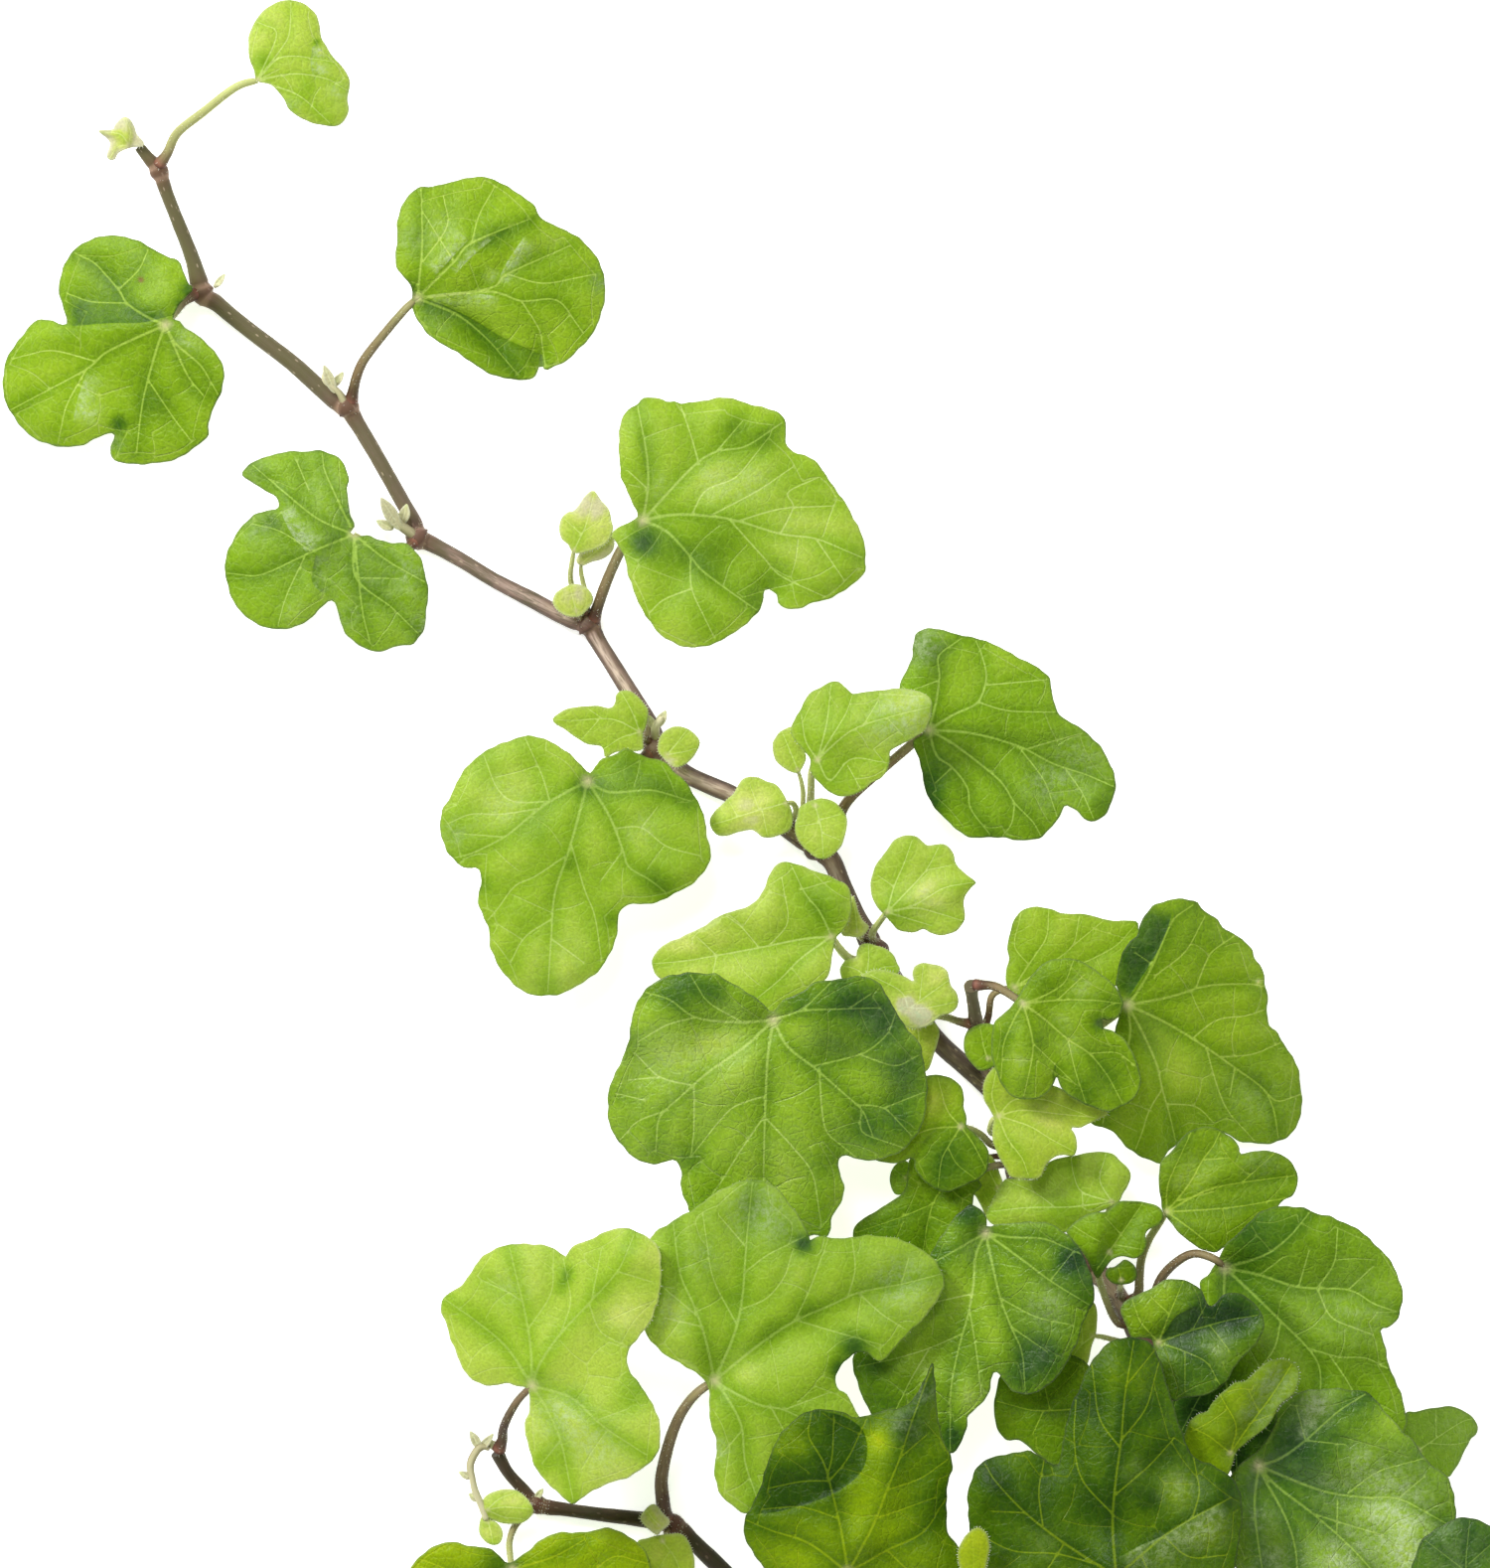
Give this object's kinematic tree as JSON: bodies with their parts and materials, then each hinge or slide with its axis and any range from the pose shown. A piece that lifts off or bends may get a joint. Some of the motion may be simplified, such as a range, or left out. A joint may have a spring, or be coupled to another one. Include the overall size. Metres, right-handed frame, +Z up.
{
  "type": "cut english ivy spray",
  "caption": "Cut spray of small-leaved English ivy with a zigzag stem, a side branch and rounded lobed leaves on slender stalks, lying flat.",
  "frame": {"origin": "centre of the bounding box on the surface that the spray lies on", "axes": "+Z up, away from the surface; +Y along the length of the spray, towards the growing tip; +X to the right as seen from above with the tip away"},
  "size_m": [0.2161, 0.2445, 0.032],
  "materials": {
    "leaf_lime": "thin waxy ivy leaf, satin",
    "leaf_light": "thin waxy ivy leaf, satin",
    "leaf_fresh": "thin waxy ivy leaf, satin",
    "leaf_middle": "thin waxy ivy leaf, satin",
    "leaf_deep": "thin waxy ivy leaf, satin",
    "leaf_dark": "thin waxy ivy leaf, satin",
    "stem": "young olive to brown bark, satin",
    "branch": "dark purple-brown bark, satin",
    "bud": "pale hairy bud scales, matt",
    "young_shoot": "pale young leaf and shoot, satin"
  },
  "bodies": {
    "root": {"leaf_01": "leaf_lime", "leaf_02": "leaf_fresh", "leaf_03": "leaf_fresh", "leaf_04": "leaf_fresh", "leaf_05": "leaf_light", "leaf_06": "leaf_lime", "leaf_07": "leaf_lime", "leaf_08": "leaf_light", "leaf_09": "leaf_lime", "leaf_10": "leaf_lime", "leaf_11": "leaf_light", "leaf_12": "leaf_light", "leaf_13": "leaf_lime", "leaf_14": "leaf_lime", "leaf_15": "leaf_light", "leaf_16": "leaf_fresh", "leaf_17": "leaf_light", "leaf_18": "leaf_lime", "leaf_19": "leaf_lime", "leaf_20": "leaf_light", "leaf_21": "leaf_lime", "leaf_22": "leaf_fresh", "leaf_23": "leaf_deep", "leaf_24": "leaf_light", "leaf_25": "leaf_fresh", "leaf_26": "leaf_fresh", "leaf_27": "leaf_middle", "leaf_28": "leaf_fresh", "leaf_29": "leaf_lime", "leaf_30": "leaf_light", "leaf_31": "leaf_middle", "leaf_32": "leaf_fresh", "leaf_33": "leaf_fresh", "leaf_34": "leaf_middle", "leaf_35": "leaf_fresh", "leaf_36": "leaf_deep", "leaf_37": "leaf_fresh", "leaf_38": "leaf_dark", "leaf_39": "leaf_lime", "leaf_40": "leaf_dark", "leaf_41": "leaf_fresh", "leaf_42": "leaf_dark", "leaf_43": "leaf_middle", "leaf_44": "leaf_middle", "leaf_45": "leaf_middle", "leaf_46": "leaf_light", "leaf_47": "leaf_lime", "leaf_48": "leaf_lime", "leaf_49": "leaf_fresh", "leaf_50": "leaf_light", "leaf_51": "leaf_deep", "leaf_52": "leaf_lime", "leaf_53": "leaf_lime", "main_stem": "stem", "side_branch": "branch", "side_shoot": "stem", "tip_bud": "bud", "end_shoot": "young_shoot"}
  },
  "joints": []
}
